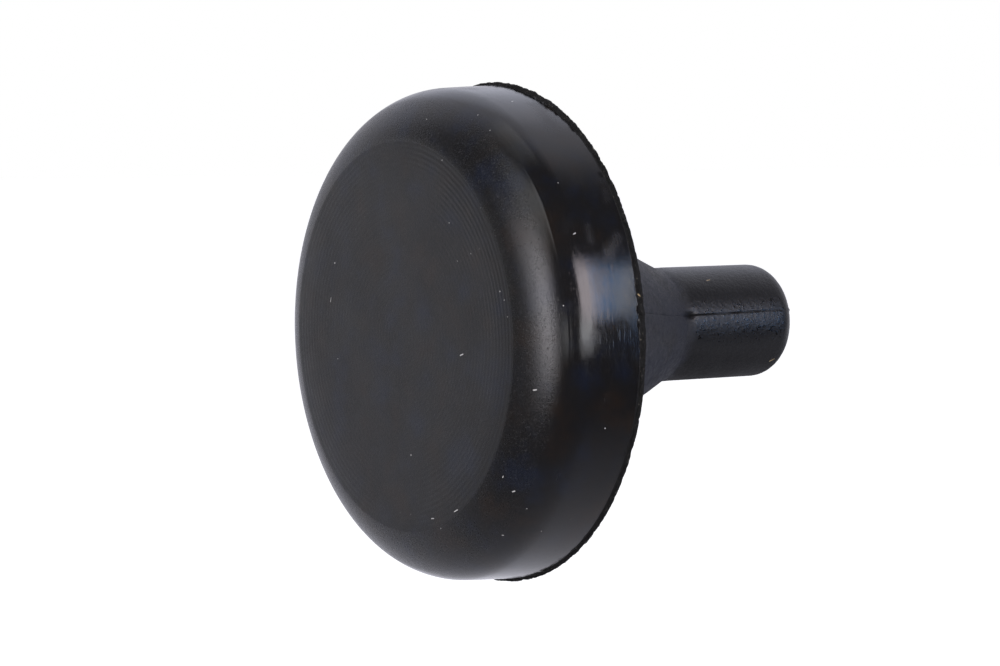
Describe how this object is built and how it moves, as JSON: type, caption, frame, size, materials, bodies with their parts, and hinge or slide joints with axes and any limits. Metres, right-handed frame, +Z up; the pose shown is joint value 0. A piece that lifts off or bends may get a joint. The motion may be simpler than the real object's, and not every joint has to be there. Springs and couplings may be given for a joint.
{
  "type": "clutch pedal bumper",
  "caption": "Round rubber bumper: flat strike face, rounded shoulder, conical neck and a straight plug stem pressed into a bracket hole to stop a clutch pedal.",
  "frame": {"origin": "on the part's axis where the straight stem begins, in the plane of the front of the bracket that holds it", "axes": "+Y along the stem, away from the strike face; +Z up"},
  "size_m": [0.0326, 0.0299, 0.0326],
  "materials": {
    "rubber": "matte moulded rubber"
  },
  "bodies": {
    "root": {"bumper": "rubber"}
  },
  "joints": []
}
